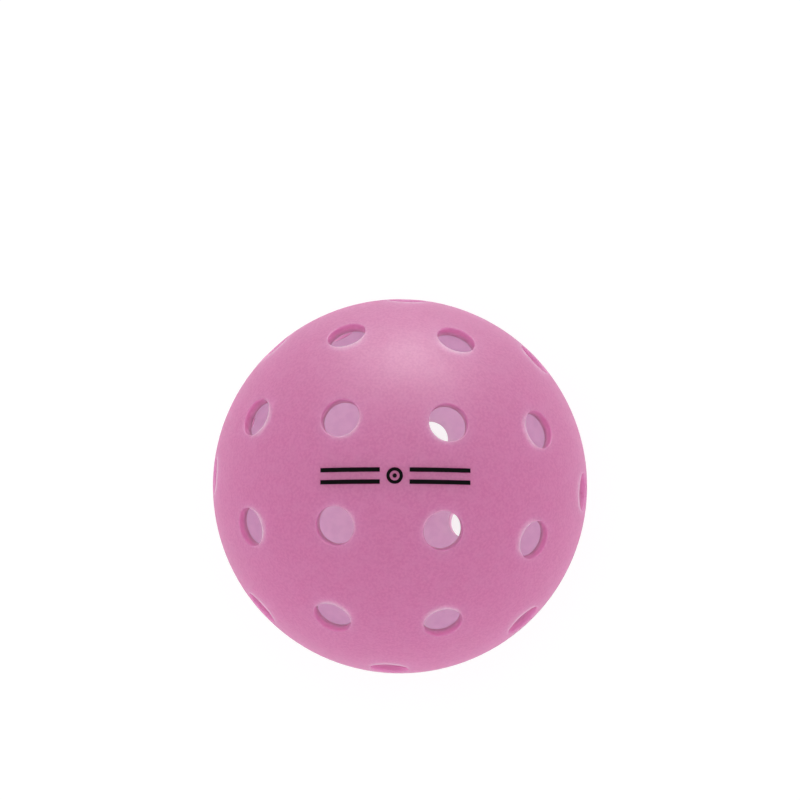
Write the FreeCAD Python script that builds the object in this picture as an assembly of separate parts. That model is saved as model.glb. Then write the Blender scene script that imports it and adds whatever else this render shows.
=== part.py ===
import FreeCAD, Part
import math
import os

# Outdoor pickleball ball, 74 mm across, with 40 round holes.
# Frame: origin at the ball's centre. +Z is the moulding axis and points out through the print.
# The print runs nearly along X. All lengths are in millimetres.

BALL_R = 37.0            # outer radius of the ball
WALL = 1.9               # thickness of the moulded wall
HOLE_R = 3.65            # radius of every through hole
RIM_ROUND = 0.25         # rounding of each hole's outer edge
INNER_ROUND = 0.15       # rounding of each hole's inner edge

# Each half has three rings of holes round its pole: 4, 8 and 8. Angles are in degrees.
RING_1_TILT = 22.5       # angle from the pole to the first ring's hole axes
RING_2_TILT = 51.0
RING_3_TILT = 77.5
PAIR_ANGLE = 21.3        # the second ring's holes stand in pairs, this far each side of X and Y
PLAIN_TURN = 25.0        # how far the plain half is turned about Z against the printed half

# Stepped joint at the equator: a tongue on the printed half fits a step in the plain half.
TONGUE_H = 1.2           # how far the tongue reaches past the equator
TONGUE_T = 0.95          # thickness of the tongue, half of the wall
BEAD_R = 0.6             # radius of the melted half-round bead inside the joint
SEAM_BEVEL = 0.15        # bevel of each half's outer edge, so the joint shows as a fine groove

# Printed mark: a dot in a ring between two pairs of level stripes.
INK_T = 0.05             # thickness of the ink film
MARK_X = 0.7             # middle of the mark, measured from the pole
MARK_Y = -0.45
MARK_TURN = 2.5          # how far the print is turned about Z against the holes, in degrees
RING_R = 1.5             # outer radius of the ring, half the mark's height
RING_T = 0.6             # width of the ring's stroke
DOT_R = 0.4              # radius of the dot
STRIPE_L = 11.0          # length of each stripe
STRIPE_T = 0.8           # width of each stripe
STRIPE_GAP = 1.2         # space between the ring and the stripes

INNER_R = BALL_R - WALL
TONGUE_R = INNER_R + TONGUE_T
REACH = 2.0 * BALL_R     # longer than anything it has to cut through

ORIGIN = FreeCAD.Vector(0, 0, 0)
X_AXIS = FreeCAD.Vector(1, 0, 0)
Y_AXIS = FreeCAD.Vector(0, 1, 0)
Z_AXIS = FreeCAD.Vector(0, 0, 1)


def point(x, y, z=0.0):
    return FreeCAD.Vector(x, y, z)


def outline_solid(edges):
    """Solid of revolution about Z from a closed outline in the XZ plane."""
    face = Part.Face(Part.Wire(edges))
    return face.revolve(ORIGIN, Z_AXIS, 360)


def rounding(sphere_r, fillet_r, side):
    """Ends and middle of the arc that rounds a hole's edge at a sphere, in the XZ plane.

    side is -1 where the arc lies inside the sphere and +1 where it lies outside it."""
    centre_x = HOLE_R + fillet_r
    centre_dist = sphere_r + side * fillet_r
    centre_z = math.sqrt(centre_dist ** 2 - centre_x ** 2)
    on_bore = point(HOLE_R, 0, centre_z)
    scale = sphere_r / centre_dist
    on_sphere = point(centre_x * scale, 0, centre_z * scale)
    chord_mid = (on_bore + on_sphere) * 0.5
    centre = point(centre_x, 0, centre_z)
    outward = (chord_mid - centre).normalize()
    middle = centre + outward * fillet_r
    return on_bore, middle, on_sphere


def hole_cutter():
    """Cutter for one hole, standing on +Z, with both edges of the hole rounded."""
    low = INNER_R - 3 * WALL
    high = BALL_R + WALL
    bore_top, top_mid, top_end = rounding(BALL_R, RIM_ROUND, -1)
    bore_low, low_mid, low_end = rounding(INNER_R, INNER_ROUND, 1)
    edges = [
        Part.makeLine(point(0, 0, low), point(low_end.x, 0, low)),
        Part.makeLine(point(low_end.x, 0, low), low_end),
        Part.Arc(low_end, low_mid, bore_low).toShape(),
        Part.makeLine(bore_low, bore_top),
        Part.Arc(bore_top, top_mid, top_end).toShape(),
        Part.makeLine(top_end, point(top_end.x, 0, high)),
        Part.makeLine(point(top_end.x, 0, high), point(0, 0, high)),
        Part.makeLine(point(0, 0, high), point(0, 0, low)),
    ]
    return outline_solid(edges)


def hole_directions():
    """Tilt from the pole and turn about it, in degrees, of one half's 20 hole axes."""
    directions = []
    for quarter in range(4):
        turn = 90.0 * quarter
        directions.append((RING_1_TILT, turn + 45.0))
        directions.append((RING_2_TILT, turn - PAIR_ANGLE))
        directions.append((RING_2_TILT, turn + PAIR_ANGLE))
        directions.append((RING_3_TILT, turn))
        directions.append((RING_3_TILT, turn + 45.0))
    return directions


def half_holes(extra_turn=0.0):
    """The 20 hole cutters of one half, round the +Z pole."""
    cutters = []
    for tilt, turn in hole_directions():
        cutter = hole_cutter()
        cutter.rotate(ORIGIN, Y_AXIS, tilt)
        cutter.rotate(ORIGIN, Z_AXIS, turn + extra_turn)
        cutters.append(cutter)
    return cutters


def hollow_sphere():
    return Part.makeSphere(BALL_R).cut(Part.makeSphere(INNER_R))


def slab(z_low, z_high):
    """A block much wider than the ball between two heights."""
    return Part.makeBox(2 * REACH, 2 * REACH, z_high - z_low, point(-REACH, -REACH, z_low))


def tongue():
    """Ring below the equator that belongs to the printed half."""
    ring = Part.makeCylinder(TONGUE_R, TONGUE_H, point(0, 0, -TONGUE_H))
    return ring.cut(Part.makeSphere(INNER_R))


def seam_groove():
    """V-shaped ring round the equator that bevels both halves' outer edges."""
    tip = point(BALL_R - SEAM_BEVEL, 0)
    upper = point(BALL_R + SEAM_BEVEL, 0, 2 * SEAM_BEVEL)
    lower = point(BALL_R + SEAM_BEVEL, 0, -2 * SEAM_BEVEL)
    edges = [Part.makeLine(tip, upper), Part.makeLine(upper, lower), Part.makeLine(lower, tip)]
    return outline_solid(edges)


def printed_half_shell():
    half = hollow_sphere().common(slab(0, REACH))
    cutters = half_holes() + [seam_groove()]
    return half.fuse(tongue()).removeSplitter().cut(cutters)


def plain_half_shell():
    half = hollow_sphere().common(slab(-REACH, 0))
    half = half.cut(tongue())
    cutters = half_holes(-PLAIN_TURN)
    for cutter in cutters:
        cutter.rotate(ORIGIN, X_AXIS, 180)
    return half.cut(cutters + [seam_groove()])


def weld_bead():
    """Half-round bead of melted plastic round the inside, along the tongue's edge."""
    ring = Part.makeTorus(INNER_R, BEAD_R, point(0, 0, -TONGUE_H), Z_AXIS)
    return ring.common(Part.makeSphere(INNER_R))


def upright_disc(radius):
    """Disc at the middle of the mark, made a tall block through the ball's printed side."""
    return Part.makeCylinder(radius, BALL_R, point(MARK_X, MARK_Y, BALL_R / 2))


def stripe_block(x_side, y_side):
    """Tall block for one stripe, left or right of the ring and level with its top or its foot."""
    x_mid = MARK_X + x_side * (RING_R + STRIPE_GAP + STRIPE_L / 2)
    y_mid = MARK_Y + y_side * (RING_R - STRIPE_T / 2)
    corner = point(x_mid - STRIPE_L / 2, y_mid - STRIPE_T / 2, BALL_R / 2)
    return Part.makeBox(STRIPE_L, STRIPE_T, BALL_R, corner)


def printed_mark():
    """Ink film on the sphere: the parts of a thin skin that lie inside the mark's blocks."""
    film = Part.makeSphere(BALL_R + INK_T).cut(Part.makeSphere(BALL_R))
    blocks = [upright_disc(DOT_R), upright_disc(RING_R).cut(upright_disc(RING_R - RING_T))]
    for x_side in (-1, 1):
        for y_side in (-1, 1):
            blocks.append(stripe_block(x_side, y_side))
    islands = []
    for block in blocks:
        islands += film.common(block).Solids
    mark = Part.makeCompound(islands)
    mark.rotate(ORIGIN, Z_AXIS, MARK_TURN)
    return mark


os.makedirs("parts", exist_ok=True)
printed_half_shell().exportStep("parts/printed_half_shell.step")
plain_half_shell().exportStep("parts/plain_half_shell.step")
weld_bead().exportStep("parts/weld_bead.step")
printed_mark().exportStep("parts/printed_mark.step")
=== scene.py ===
"""Pickleball ball: two moulded polyethylene half shells, a weld bead and a pad-printed mark.

The CAD's shells and ink film keep their shapes and get their materials here. The weld bead, which
CAD holds as a plain half-round ring, is made again as the wavy bead that melted plastic leaves.
The ball lies on an opal sheet in a white tent, with one softbox beside it.
"""

import math

import bpy
import numpy as np
from mathutils import Euler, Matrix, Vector


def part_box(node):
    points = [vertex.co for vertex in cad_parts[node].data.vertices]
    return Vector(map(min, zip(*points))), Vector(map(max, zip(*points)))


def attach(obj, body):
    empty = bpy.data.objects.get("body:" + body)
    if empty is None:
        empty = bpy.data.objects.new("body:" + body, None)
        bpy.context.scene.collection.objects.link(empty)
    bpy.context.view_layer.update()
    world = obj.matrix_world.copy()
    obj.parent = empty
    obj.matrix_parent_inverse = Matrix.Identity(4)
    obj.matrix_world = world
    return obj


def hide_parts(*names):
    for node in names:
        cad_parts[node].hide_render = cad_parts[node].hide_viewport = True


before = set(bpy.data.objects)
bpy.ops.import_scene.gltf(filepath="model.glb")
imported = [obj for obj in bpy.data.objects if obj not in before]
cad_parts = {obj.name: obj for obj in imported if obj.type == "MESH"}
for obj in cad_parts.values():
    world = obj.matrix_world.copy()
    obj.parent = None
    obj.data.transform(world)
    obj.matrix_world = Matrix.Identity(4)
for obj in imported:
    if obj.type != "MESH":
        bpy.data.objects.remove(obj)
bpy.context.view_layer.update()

MM = 0.001
BALL_R = -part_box("plain_half_shell")[0][2]     # the ball lies on its lowest point
WALL = 1.9 * MM
INNER_R = BALL_R - WALL
RIM_ROUND = 0.25 * MM                          # rounding of the holes' outer edges
INNER_ROUND = 0.15 * MM                        # rounding of their inner edges
STEP_Z = -0.6 * MM                             # middle of the joint's step, below the equator
STEP_NEAR = 0.5 * MM                           # least light comes through the wall up to here
STEP_FAR = 1.2 * MM                            # and all of it from here on

# The weld bead's middle and size, from the CAD ring that it stands for.
BEAD_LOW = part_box("weld_bead")[0][2]
BEAD_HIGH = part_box("weld_bead")[1][2]
BEAD_Z = (BEAD_LOW + BEAD_HIGH) / 2
BEAD_R = (BEAD_HIGH - BEAD_LOW) / 2
BEAD_LET_IN = 0.08 * MM                        # how far its flat side sits in the wall
BEAD_WAVES = ((7, 0.10, 0.4), (19, 0.07, 1.3), (43, 0.05, 2.1))  # count, share of size, start
BEAD_STEPS = 720                               # round the ball
BEAD_SIDES = 24                                # round the bead

# Colours of the plastic where it shows, and of the ink.
SKIN_DEEP = "c86698"         # outside, satin
SKIN_PALE = "cf6f9f"         # outside, where the blasted grain scatters more light
SKIN_THIN = "d073a2"         # outside, where the pigment lies a little thinner
BORE_RIM = "c96798"          # walls of the holes near the outside: clean, a little stronger
BORE_INNER_PAINTED_LIGHT = "f189b6"         # walls of the holes at the inner end: paler, painted light that lifts the shade deep in the hole
LINER_PAINTED_LIGHT_PINK = "e2a4ca"        # inside: frosted, painted paler for the light that comes through the wall
LINER_PAINTED_LIGHT_DULL = "dc9fc6"        # inside, where more pigment lies, painted paler too
LINER_STEP_PAINTED_LIGHT = "fbe6f4"        # inside, over the joint's step: near white, painted light that lifts the shade there
WELD_PAINTED_LIGHT_PINK = "f4b6da"         # melted plastic, painted pale: painted light that lifts the shade on the bead
WELD_PALE = "fde0f1"         # paler streaks in it
INK_BLACK = "020102"
INK_WORN = "070405"          # where the film is thinner

# Plastic and ink: refraction, roughness from and to, and how far light travels inside.
POLYETHYLENE_IOR = 1.51
INK_IOR = 1.45
INK_SPECULAR = 0.08          # a dead matte film
SATIN = (0.54, 0.62)
GLOSSY = (0.26, 0.40)
MATTE = (0.62, 0.74)
SHELL_REACH = 13.5 * MM      # much further than the wall is thick, so the wall glows
SHELL_REACH_RGB = (1.0, 0.85, 0.95)
STEP_SHARE = 0.35            # share of that light over the joint's step
BEAD_REACH = 2.0 * MM
BEAD_REACH_RGB = (1.0, 0.6, 0.8)
BEAD_SHARE = 0.2             # the bead is thick, so it is mostly opaque

# Sizes of the patterns' cells, in millimetres, and depths of the relief.
GRAIN_MM = 0.5               # real grit marks are about 0.2 mm, drawn coarser so that they show
PIGMENT_MM = 2.4
DRIFT_MM = 13.0
RINGS_MM = 0.25              # tool rings in the holes
STREAKS_MM = 1.6
PITS_MM = 0.4
PULL_MM = 0.3                # the pad's pull leaves an orange-peel grain
GRAIN_DEPTH = 0.02 * MM
PITS_DEPTH = 0.04 * MM
PULL_DEPTH = 0.01 * MM

# Light and floor.
FLOOR_HALF = 3.0             # half the width of the sheet, much wider than any view
FLOOR_WHITE = 0.25
FLOOR_GLOW = 0.80            # the sheet is lit from below, like a light table
TENT = 1.0                   # brightness of the white tent all round
BOX_PLACE = Vector((0.02, 0.8, 0.17))          # the softbox stands on the +Y side
BOX_WIDTH = 0.62
BOX_TALL = 0.34
BOX_WATTS = 10.0

# Camera.
CAM_TURN = (3.72, 2.58, 2.75)                  # degrees about X, Y and Z, from straight down
CAM_AWAY = 11.5                                # distance from the ball's centre, in ball radii
CAM_LENS = 96.5
CAM_SENSOR = 36.0
CAM_SHIFT_Y = 0.1078                           # puts the ball low in the frame
CAM_CLIP = 0.01

# Settings that many nodes share, and a colour Mix node's sockets.
SMOOTH = {"interpolation_type": "SMOOTHSTEP"}
COLOURS = {"data_type": "RGBA"}
FIRST, SECOND, MIXED = 6, 7, 2


def linear(code):
    """sRGB hex such as "c777a1" to linear red, green, blue and alpha."""
    channels = [int(code[i:i + 2], 16) / 255 for i in (0, 2, 4)]
    bent = [c / 12.92 if c <= 0.04045 else ((c + 0.055) / 1.055) ** 2.4 for c in channels]
    return (*bent, 1.0)


def cell(size_mm):
    """Texture scale at which one cell of the pattern is this many millimetres across."""
    return 1000.0 / size_mm


def add(owner, kind, settings=None, links=None):
    """Adds one node, sets its properties and sockets, and links sockets to other nodes' outputs.

    A colour is given as its hex code."""
    tree = owner.node_tree
    node = tree.nodes.new("ShaderNode" + kind)
    for name, value in (settings or {}).items():
        if isinstance(name, str) and hasattr(node, name):
            setattr(node, name, value)
        else:
            node.inputs[name].default_value = linear(value) if isinstance(value, str) else value
    for name, source in (links or {}).items():
        tree.links.new(source, node.inputs[name])
    return node


def new_material(name):
    material = bpy.data.materials.new(name)
    material.use_nodes = True
    material.node_tree.nodes.clear()
    return material


def moulded_polyethylene():
    """Pigmented polyethylene, injection moulded in a fine-blasted steel mould.

    It gives a satin, slightly waxy skin that lets light through, so the far walls behind the holes
    glow. Its colour follows the distance from the ball's centre: outside skin, walls of the holes
    painted paler towards their inner ends, and a frosted inside painted paler for the light that
    comes through the wall."""
    m = new_material("satin translucent polyethylene, moulded")
    where = add(m, "TexCoord").outputs["Object"]
    radius = add(m, "VectorMath", {"operation": "LENGTH"}, {0: where}).outputs["Value"]

    # Blasted grain, pigment that drifts with the flow of the melt, and a coarse drift of the gloss.
    grain = add(m, "TexNoise", {"Scale": cell(GRAIN_MM), "Detail": 3.0},
                {"Vector": where}).outputs["Fac"]
    pigment = add(m, "TexNoise", {"Scale": cell(PIGMENT_MM)}, {"Vector": where}).outputs["Fac"]
    drift = add(m, "TexNoise", {"Scale": cell(DRIFT_MM), "Detail": 3.0, "Distortion": 0.6},
                {"Vector": where}).outputs["Fac"]
    speckle = add(m, "MapRange", {**SMOOTH, "From Min": 0.35, "From Max": 0.65},
                  {"Value": grain}).outputs[0]
    thin = add(m, "MapRange", {**SMOOTH, "From Min": 0.45, "From Max": 0.75, "To Max": 0.5},
               {"Value": pigment}).outputs[0]
    skin = add(m, "Mix", {**COLOURS, FIRST: SKIN_DEEP, SECOND: SKIN_PALE},
               {"Factor": speckle}).outputs[MIXED]
    skin = add(m, "Mix", {**COLOURS, SECOND: SKIN_THIN},
               {"Factor": thin, FIRST: skin}).outputs[MIXED]

    # Over the joint's step the two halves lie on each other and little light comes through.
    height = add(m, "SeparateXYZ", None, {0: where}).outputs["Z"]
    above = add(m, "Math", {"operation": "SUBTRACT", 1: STEP_Z}, {0: height}).outputs[0]
    from_step = add(m, "Math", {"operation": "ABSOLUTE"}, {0: above}).outputs[0]
    let_through = add(m, "MapRange", {**SMOOTH, "From Min": STEP_NEAR, "From Max": STEP_FAR,
                                      "To Min": STEP_SHARE}, {"Value": from_step}).outputs[0]

    # Walls of the holes, from the rounded rim down to the inner end, painted paler towards the inner
    # end: painted light that lifts the shade there.
    down = add(m, "MapRange", {**SMOOTH, "From Min": BALL_R - RIM_ROUND,
                               "From Max": INNER_R + INNER_ROUND}, {"Value": radius}).outputs[0]
    bore = add(m, "Mix", {**COLOURS, FIRST: BORE_RIM, SECOND: BORE_INNER_PAINTED_LIGHT},
               {"Factor": down}).outputs[MIXED]

    # Inside: frosted and painted paler for the light that comes through the wall, with a faint drift
    # of the pigment.
    frost = add(m, "MapRange", {**SMOOTH, "From Min": 0.35, "From Max": 0.65},
                {"Value": pigment}).outputs[0]
    liner = add(m, "Mix", {**COLOURS, FIRST: LINER_PAINTED_LIGHT_PINK, SECOND: LINER_PAINTED_LIGHT_DULL},
                {"Factor": frost}).outputs[MIXED]
    # Over the step the inside is painted near white: painted light that lifts the shade there.
    liner = add(m, "Mix", {**COLOURS, FIRST: LINER_STEP_PAINTED_LIGHT},
                {"Factor": let_through, SECOND: liner}).outputs[MIXED]

    on_skin = add(m, "MapRange", {**SMOOTH, "From Min": BALL_R - RIM_ROUND, "From Max": BALL_R},
                  {"Value": radius}).outputs[0]
    on_liner = add(m, "MapRange", {**SMOOTH, "From Min": INNER_R + INNER_ROUND,
                                   "From Max": INNER_R}, {"Value": radius}).outputs[0]
    colour = add(m, "Mix", COLOURS, {"Factor": on_skin, FIRST: bore, SECOND: skin}).outputs[MIXED]
    colour = add(m, "Mix", COLOURS, {"Factor": on_liner, FIRST: colour, SECOND: liner}).outputs[MIXED]
    satin = add(m, "MapRange", {**SMOOTH, "From Min": 0.3, "From Max": 0.7,
                                "To Min": SATIN[0], "To Max": SATIN[1]},
                {"Value": drift}).outputs[0]

    # Relief: grain on the skin, and tool rings in the holes, which are fine steps at equal distances
    # from the ball's centre. The inside lies all at one distance, so it stays smooth.
    depth = add(m, "CombineXYZ", None, {"X": radius}).outputs[0]
    rings = add(m, "TexNoise", {"Scale": cell(RINGS_MM)}, {"Vector": depth}).outputs["Fac"]
    in_hole = add(m, "Math", {"operation": "SUBTRACT", 0: 1.0, "use_clamp": True},
                  {1: on_skin}).outputs[0]
    relief = add(m, "Mix", None, {"Factor": in_hole, 2: grain, 3: rings}).outputs[0]
    bump = add(m, "Bump", {"Strength": 0.35, "Distance": GRAIN_DEPTH}, {"Height": relief})
    shader = add(m, "BsdfPrincipled", {
        "IOR": POLYETHYLENE_IOR,
        "Subsurface Scale": SHELL_REACH,
        "Subsurface Radius": SHELL_REACH_RGB,
    }, {"Base Color": colour, "Roughness": satin, "Normal": bump.outputs["Normal"],
        "Subsurface Weight": let_through})
    add(m, "OutputMaterial", None, {"Surface": shader.outputs[0]})
    return m


def melted_polyethylene():
    """The same plastic after spin welding: melted, squeezed out and set, so glossier and streaky."""
    m = new_material("glossy polyethylene, re-melted in the weld")
    where = add(m, "TexCoord").outputs["Object"]
    # Streaks of the squeezed-out melt, and pits where air escaped.
    streaks = add(m, "TexNoise", {"Scale": cell(STREAKS_MM), "Distortion": 0.8},
                  {"Vector": where}).outputs["Fac"]
    pits = add(m, "TexNoise", {"Scale": cell(PITS_MM), "Detail": 3.0},
               {"Vector": where}).outputs["Fac"]
    shade = add(m, "MapRange", {**SMOOTH, "From Min": 0.3, "From Max": 0.7},
                {"Value": streaks}).outputs[0]
    # The bead's pale colour is painted light that lifts the shade on it; the streaks are its own.
    colour = add(m, "Mix", {**COLOURS, FIRST: WELD_PAINTED_LIGHT_PINK, SECOND: WELD_PALE},
                 {"Factor": shade}).outputs[MIXED]
    gloss = add(m, "MapRange", {**SMOOTH, "From Min": 0.3, "From Max": 0.7,
                                "To Min": GLOSSY[0], "To Max": GLOSSY[1]},
                {"Value": streaks}).outputs[0]
    bump = add(m, "Bump", {"Strength": 0.5, "Distance": PITS_DEPTH}, {"Height": pits})
    shader = add(m, "BsdfPrincipled", {
        "IOR": POLYETHYLENE_IOR,
        "Subsurface Weight": BEAD_SHARE,
        "Subsurface Scale": BEAD_REACH,
        "Subsurface Radius": BEAD_REACH_RGB,
    }, {"Base Color": colour, "Roughness": gloss, "Normal": bump.outputs["Normal"]})
    add(m, "OutputMaterial", None, {"Surface": shader.outputs[0]})
    return m


def pad_print_ink():
    """Black two-part ink, pad printed: a dead matte film, a touch thinner where the pad pulled it."""
    m = new_material("matte black pad-printing ink")
    where = add(m, "TexCoord").outputs["Object"]
    pull = add(m, "TexNoise", {"Scale": cell(PULL_MM), "Detail": 3.0},
               {"Vector": where}).outputs["Fac"]
    thin = add(m, "MapRange", {**SMOOTH, "From Min": 0.45, "From Max": 0.75},
               {"Value": pull}).outputs[0]
    colour = add(m, "Mix", {**COLOURS, FIRST: INK_BLACK, SECOND: INK_WORN},
                 {"Factor": thin}).outputs[MIXED]
    matt = add(m, "MapRange", {**SMOOTH, "From Min": 0.3, "From Max": 0.7,
                               "To Min": MATTE[0], "To Max": MATTE[1]},
               {"Value": pull}).outputs[0]
    bump = add(m, "Bump", {"Strength": 0.4, "Distance": PULL_DEPTH}, {"Height": pull})
    shader = add(m, "BsdfPrincipled", {"IOR": INK_IOR, "Specular IOR Level": INK_SPECULAR},
                 {"Base Color": colour, "Roughness": matt, "Normal": bump.outputs["Normal"]})
    add(m, "OutputMaterial", None, {"Surface": shader.outputs[0]})
    return m


def opal_acrylic():
    """Opal acrylic sheet, lit evenly from below: plain white without a horizon."""
    m = new_material("opal acrylic, lit from below")
    shader = add(m, "BsdfPrincipled", {
        "Base Color": (FLOOR_WHITE, FLOOR_WHITE, FLOOR_WHITE, 1.0),
        "Roughness": 0.9,
        "Specular IOR Level": 0.0,
        "Emission Color": (1.0, 1.0, 1.0, 1.0),
        "Emission Strength": FLOOR_GLOW,
    })
    add(m, "OutputMaterial", None, {"Surface": shader.outputs[0]})
    return m


def dress(node, material):
    """Gives a CAD piece its material."""
    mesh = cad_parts[node].data
    mesh.materials.clear()
    mesh.materials.append(material)


def place(name, points, faces, material):
    """New object from points and faces, with its place in its mesh."""
    mesh = bpy.data.meshes.new(name)
    mesh.from_pydata(points, [], faces)
    mesh.materials.append(material)
    piece = bpy.data.objects.new(name, mesh)
    bpy.context.scene.collection.objects.link(piece)
    return piece


def wavy_bead(material):
    """Bead of squeezed-out plastic round the inside of the joint.

    A tube round Z. Its own radius is the mean one times one plus a sum of sines of the angle round
    the ball. A point across the tube goes round its middle line, and no further out than a set
    depth in the wall, which gives the tube its flat side."""
    turn = np.linspace(0, 2 * np.pi, BEAD_STEPS, endpoint=False)[:, None]
    across = np.linspace(0, 2 * np.pi, BEAD_SIDES, endpoint=False)[None, :]
    swell = 1 + sum(share * np.sin(count * turn + start) for count, share, start in BEAD_WAVES)
    size = BEAD_R * swell
    out = np.minimum(INNER_R + size * np.cos(across), INNER_R + BEAD_LET_IN)
    z = BEAD_Z + size * np.sin(across)
    points = np.stack([out * np.cos(turn), out * np.sin(turn), z], axis=-1).reshape(-1, 3)

    step, side = np.meshgrid(np.arange(BEAD_STEPS), np.arange(BEAD_SIDES), indexing="ij")
    next_step = (step + 1) % BEAD_STEPS
    next_side = (side + 1) % BEAD_SIDES
    corners = [(step, side), (next_step, side), (next_step, next_side), (step, next_side)]
    faces = np.stack([i * BEAD_SIDES + j for i, j in corners], axis=-1).reshape(-1, 4)

    bead = place("weld_bead_wavy", points.tolist(), faces.tolist(), material)
    bead.data.shade_smooth()
    return bead


def light_table():
    """Flat opal sheet that the ball lies on."""
    h = FLOOR_HALF
    z = -BALL_R
    corners = [(-h, -h, z), (h, -h, z), (h, h, z), (-h, h, z)]
    place("opal sheet", corners, [(0, 1, 2, 3)], opal_acrylic())


def tent():
    world = bpy.data.worlds.new("white tent")
    bpy.context.scene.world = world
    world.use_nodes = True
    cloth = world.node_tree.nodes["Background"]
    cloth.inputs["Color"].default_value = (1.0, 1.0, 1.0, 1.0)
    cloth.inputs["Strength"].default_value = TENT


def softbox():
    """Rectangular soft light beside the ball, aimed at its centre.

    It only draws the broad highlight: the tent already lights the ball all round."""
    data = bpy.data.lights.new("softbox", "AREA")
    data.shape = "RECTANGLE"
    data.size = BOX_WIDTH
    data.size_y = BOX_TALL
    data.energy = BOX_WATTS
    lamp = bpy.data.objects.new("softbox", data)
    bpy.context.scene.collection.objects.link(lamp)
    lamp.location = BOX_PLACE
    lamp.rotation_euler = (-BOX_PLACE).to_track_quat("-Z", "Y").to_euler()
    lamp.visible_diffuse = False
    lamp.visible_camera = False


def camera():
    """Looks down on the print, a few degrees off the pole."""
    turn = Euler([math.radians(a) for a in CAM_TURN], "XYZ").to_matrix()
    data = bpy.data.cameras.new("camera")
    data.sensor_width = CAM_SENSOR
    data.lens = CAM_LENS
    data.shift_y = CAM_SHIFT_Y
    data.clip_start = CAM_CLIP
    cam = bpy.data.objects.new("camera", data)
    bpy.context.scene.collection.objects.link(cam)
    cam.matrix_world = turn.to_4x4()
    cam.location = turn @ Vector((0, 0, CAM_AWAY * BALL_R))
    bpy.context.scene.camera = cam


pink = moulded_polyethylene()
dress("printed_half_shell", pink)
dress("plain_half_shell", pink)
dress("printed_mark", pad_print_ink())

melted = melted_polyethylene()
dress("weld_bead", melted)
bead = wavy_bead(melted)
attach(bead, "root")
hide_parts("weld_bead")

light_table()
tent()
softbox()
camera()
bpy.context.scene.view_settings.view_transform = "Standard"
